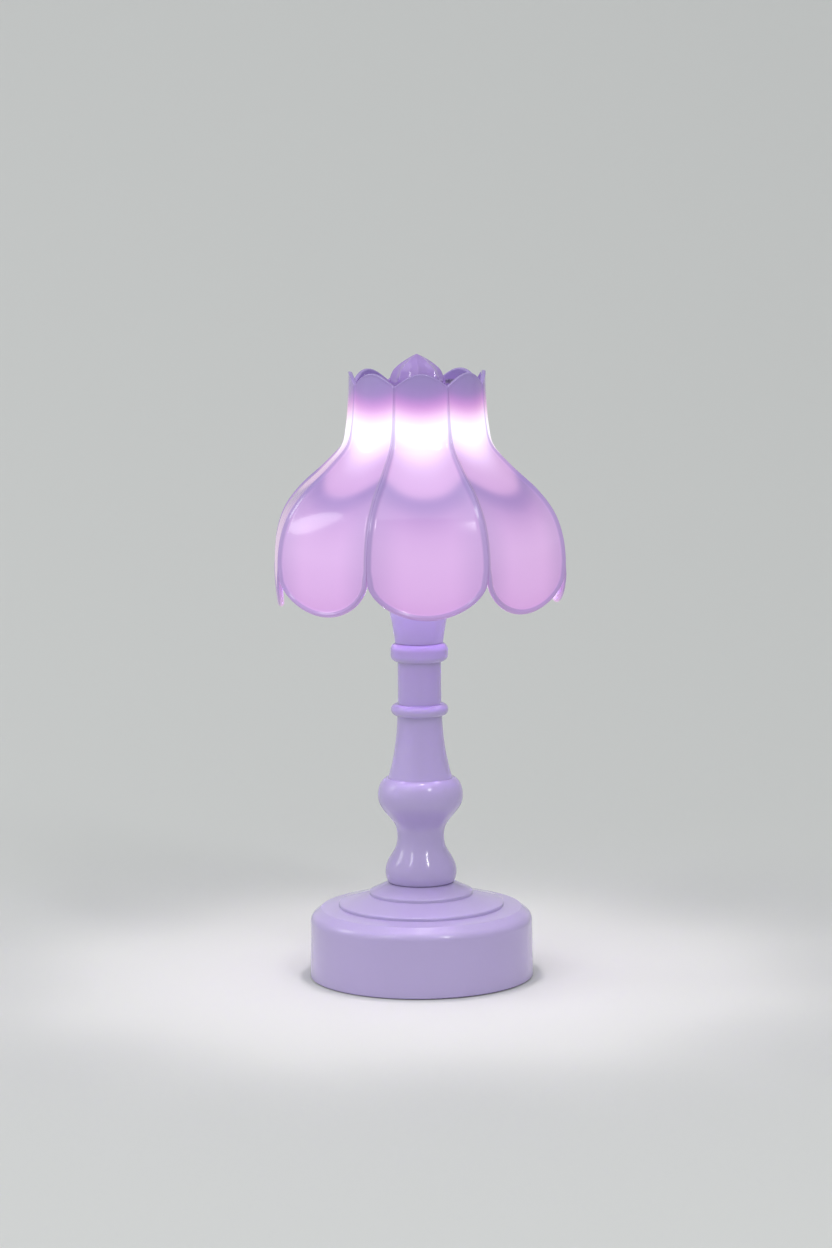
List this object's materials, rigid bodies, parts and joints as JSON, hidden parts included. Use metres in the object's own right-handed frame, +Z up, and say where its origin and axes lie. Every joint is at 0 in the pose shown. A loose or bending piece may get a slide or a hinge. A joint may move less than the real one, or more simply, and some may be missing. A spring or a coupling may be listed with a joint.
{
  "type": "petal table lamp",
  "caption": "Small cordless table lamp with a stepped round base, a turned stem, a bell shade of separate glossy petals and a clear bud finial.",
  "frame": {"origin": "on the lamp's axis, in the plane of the feet", "axes": "+Z up along the stem, +Y towards the back, where the power button is; petal_1 faces -Y"},
  "size_m": [0.1144, 0.1144, 0.25],
  "materials": {
    "shell": "gloss",
    "petal": "gloss",
    "bud": "clear moulded acrylic",
    "white_plastic": "satin",
    "milky": "milky",
    "dark_plastic": "satin",
    "steel": "zinc plated",
    "iron": "bare",
    "alu": "brushed",
    "brass": "machined",
    "rubber": "matte",
    "board": "solder mask",
    "led": "gloss",
    "lead": "smooth",
    "cell": "printed sleeve without text"
  },
  "bodies": {
    "root": {"base_cover": "shell", "base_plate": "dark_plastic", "battery_cells": "cell", "cell_springs": "steel", "contact_plates": "steel", "battery_leads": "lead", "ballast_ring": "iron", "base_screws": "steel", "rubber_feet": "rubber", "circuit_board": "board", "board_parts": "dark_plastic", "board_screws": "steel", "switch_body": "dark_plastic", "tie_tube": "steel", "lower_washer": "steel", "lower_nut": "steel", "carrier_nut": "steel", "stem_foot": "shell", "stem_dome": "shell", "stem_cone": "shell", "shade_cup": "shell", "lower_collar": "shell", "neck_tube": "shell", "upper_collar": "shell", "light_saucer": "milky", "post_sleeve": "white_plastic", "led_carrier": "alu", "led_board": "white_plastic", "led_chips": "led", "led_screws": "steel", "diffuser_ring": "milky", "led_lead": "lead"},
    "shade": {"shade_hub": "shell", "petal_screws": "steel", "finial_washer": "steel", "petal_1": "petal", "petal_2": "petal", "petal_3": "petal", "petal_4": "petal", "petal_5": "petal", "petal_6": "petal", "petal_7": "petal", "petal_8": "petal"},
    "finial": {"finial_insert": "brass", "finial_bud": "bud"},
    "button": {"power_button": "white_plastic", "switch_plunger": "white_plastic", "button_spring": "steel"},
    "door": {"battery_door": "dark_plastic"}
  },
  "joints": [
    {"name": "shade_lift", "type": "slide", "parent": "root", "child": "shade", "axis": [0, 0, 1], "range_m": [0, 0.1]},
    {"name": "finial_turn", "type": "hinge", "parent": "shade", "child": "finial", "pos_m": [0, 0, 0.24], "axis": [0, 0, 1], "range_deg": [0, 2520]},
    {"name": "power_button_press", "type": "slide", "parent": "root", "child": "button", "axis": [0, -1, 0], "range_m": [0, 0.0016], "stiffness_N_per_m": 600, "springref_m": -0.001, "deforming": ["button_spring"]},
    {"name": "battery_door_swing", "type": "hinge", "parent": "root", "child": "door", "pos_m": [-0.0256, 0, 0.0013], "axis": [0, 1, 0], "range_deg": [0, 90]}
  ]
}
